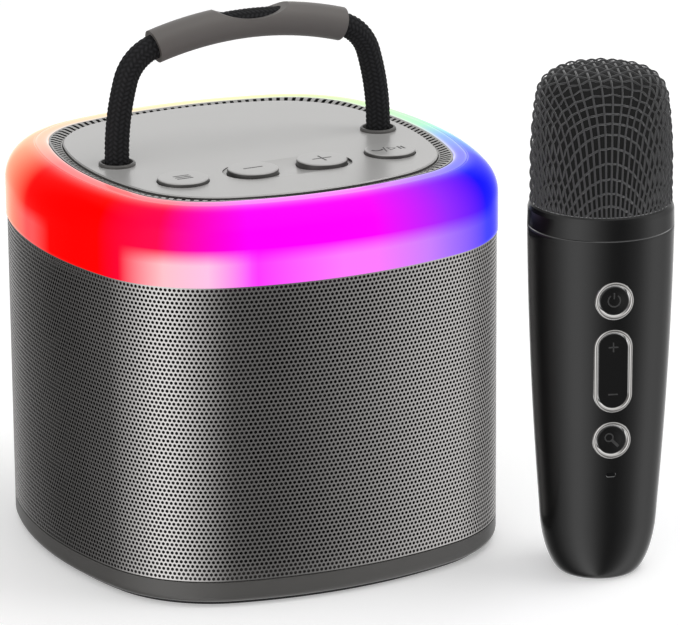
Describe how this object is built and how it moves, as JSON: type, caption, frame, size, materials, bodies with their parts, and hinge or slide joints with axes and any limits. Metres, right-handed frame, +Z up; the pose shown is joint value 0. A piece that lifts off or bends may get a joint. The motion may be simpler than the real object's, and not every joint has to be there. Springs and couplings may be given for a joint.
{
  "type": "portable karaoke speaker with wireless microphone",
  "caption": "Portable karaoke speaker with light ring, rope handle and push buttons, standing beside its hand microphone.",
  "frame": {"origin": "centre of the speaker's base, on the floor", "axes": "+Z up, -Y towards the side with the deck buttons, +X along the button row towards the play button; the microphone stands front right"},
  "size_m": [0.1378, 0.1446, 0.1361],
  "materials": {
    "black_rubber": "dark moulded rubber, matt",
    "base_plastic": "grey, fine matt grain",
    "grille_metal": "dark grey satin paint on perforated sheet",
    "cabinet_plastic": "black, plain moulded",
    "frame_metal": "black satin paint",
    "magnet_metal": "plain plated steel",
    "screw_steel": "zinc plated",
    "socket_steel": "bright plated shell",
    "surround_rubber": "soft black rubber",
    "cone_paper": "dark pressed paper cone",
    "radiator_metal": "satin plate",
    "battery_wrap": "blue shrink sleeve",
    "board_green": "green solder mask",
    "led_white": "white flexible strip",
    "ring_plastic": "frosted translucent, lit from inside in many colours",
    "deck_plastic": "light grey, fine matt grain",
    "rope_fabric": "black braided cord",
    "grip_rubber": "grey-brown, satin",
    "mic_plastic": "black, satin",
    "mesh_steel": "black woven steel wire",
    "foam_black": "black open foam",
    "capsule_metal": "satin can",
    "bezel_chrome": "polished",
    "light_clear": "smoky clear"
  },
  "bodies": {
    "speaker": {"non_slip_pad": "black_rubber", "base_cover": "base_plastic", "base_screws": "screw_steel", "grille_sleeve": "grille_metal", "inner_cabinet": "cabinet_plastic", "driver_basket": "frame_metal", "driver_magnet": "magnet_metal", "driver_surround": "surround_rubber", "radiator_surround": "surround_rubber", "battery_cradle": "cabinet_plastic", "battery_cell": "battery_wrap", "main_board": "board_green", "port_panel": "cabinet_plastic", "usb_c_socket": "socket_steel", "aux_socket": "cabinet_plastic", "card_socket": "socket_steel", "power_switch_body": "socket_steel", "top_frame": "cabinet_plastic", "frame_screws": "screw_steel", "led_strip": "led_white", "light_ring": "ring_plastic", "vent_ring": "deck_plastic", "control_deck": "deck_plastic", "switch_board": "board_green", "rope_grommets": "base_plastic", "rope_tails": "rope_fabric", "rope_stoppers": "black_rubber"},
    "driver_cone": {"driver_cone": "cone_paper"},
    "radiator_plate": {"radiator_plate": "radiator_metal"},
    "power_slider": {"power_slider": "cabinet_plastic"},
    "mode_button": {"mode_button": "deck_plastic"},
    "minus_button": {"minus_button": "deck_plastic"},
    "plus_button": {"plus_button": "deck_plastic"},
    "play_button": {"play_button": "deck_plastic"},
    "handle": {"handle_rope": "rope_fabric", "handle_grip": "grip_rubber"},
    "microphone": {"mic_barrel": "mic_plastic", "mic_collar": "mic_plastic", "mic_mesh": "mesh_steel", "mic_foam": "foam_black", "mic_capsule": "capsule_metal", "mic_capsule_cradle": "cabinet_plastic", "mic_board": "board_green", "mic_battery": "socket_steel", "mic_usb_socket": "socket_steel", "mic_power_bezel": "bezel_chrome", "mic_rocker_bezel": "bezel_chrome", "mic_effect_bezel": "bezel_chrome", "mic_light_pipe": "light_clear"},
    "mic_power_button": {"mic_power_button": "mic_plastic"},
    "mic_volume_rocker": {"mic_volume_rocker": "mic_plastic"},
    "mic_effect_button": {"mic_effect_button": "mic_plastic"}
  },
  "joints": [
    {"name": "driver_cone_travel", "type": "slide", "parent": "speaker", "child": "driver_cone", "axis": [0, -1, 0], "range_m": [-0.001, 0.001], "stiffness_N_per_m": 1200},
    {"name": "radiator_travel", "type": "slide", "parent": "speaker", "child": "radiator_plate", "axis": [0, 1, 0], "range_m": [-0.001, 0.001], "stiffness_N_per_m": 800},
    {"name": "power_switch_slide", "type": "slide", "parent": "speaker", "child": "power_slider", "axis": [1, 0, 0], "range_m": [0, 0.003]},
    {"name": "mode_press", "type": "slide", "parent": "speaker", "child": "mode_button", "axis": [0, 0, -1], "range_m": [0, 0.0008], "stiffness_N_per_m": 500, "springref_m": -0.0004},
    {"name": "minus_press", "type": "slide", "parent": "speaker", "child": "minus_button", "axis": [0, 0, -1], "range_m": [0, 0.0008], "stiffness_N_per_m": 500, "springref_m": -0.0004},
    {"name": "plus_press", "type": "slide", "parent": "speaker", "child": "plus_button", "axis": [0, 0, -1], "range_m": [0, 0.0008], "stiffness_N_per_m": 500, "springref_m": -0.0004},
    {"name": "play_press", "type": "slide", "parent": "speaker", "child": "play_button", "axis": [0, 0, -1], "range_m": [0, 0.0008], "stiffness_N_per_m": 500, "springref_m": -0.0004},
    {"name": "handle_tilt", "type": "hinge", "parent": "speaker", "child": "handle", "pos_m": [0, 0, 0.101], "axis": [1, 0, 0], "range_deg": [-25, 25], "stiffness_Nm_per_rad": 0.12},
    {"name": "mic_lift", "type": "slide", "parent": "speaker", "child": "microphone", "axis": [0, 0, 1], "range_m": [0, 0.15]},
    {"name": "mic_power_press", "type": "slide", "parent": "microphone", "child": "mic_power_button", "axis": [0.3173, 0.9483, 0], "range_m": [0, 0.0006], "stiffness_N_per_m": 400},
    {"name": "mic_volume_rock", "type": "hinge", "parent": "microphone", "child": "mic_volume_rocker", "pos_m": [0.05787, -0.08085, 0.0562], "axis": [0.9483, -0.3173, 0], "range_deg": [-2.5, 2.5], "stiffness_Nm_per_rad": 0.2},
    {"name": "mic_effect_press", "type": "slide", "parent": "microphone", "child": "mic_effect_button", "axis": [0.3173, 0.9483, 0], "range_m": [0, 0.0006], "stiffness_N_per_m": 400}
  ]
}
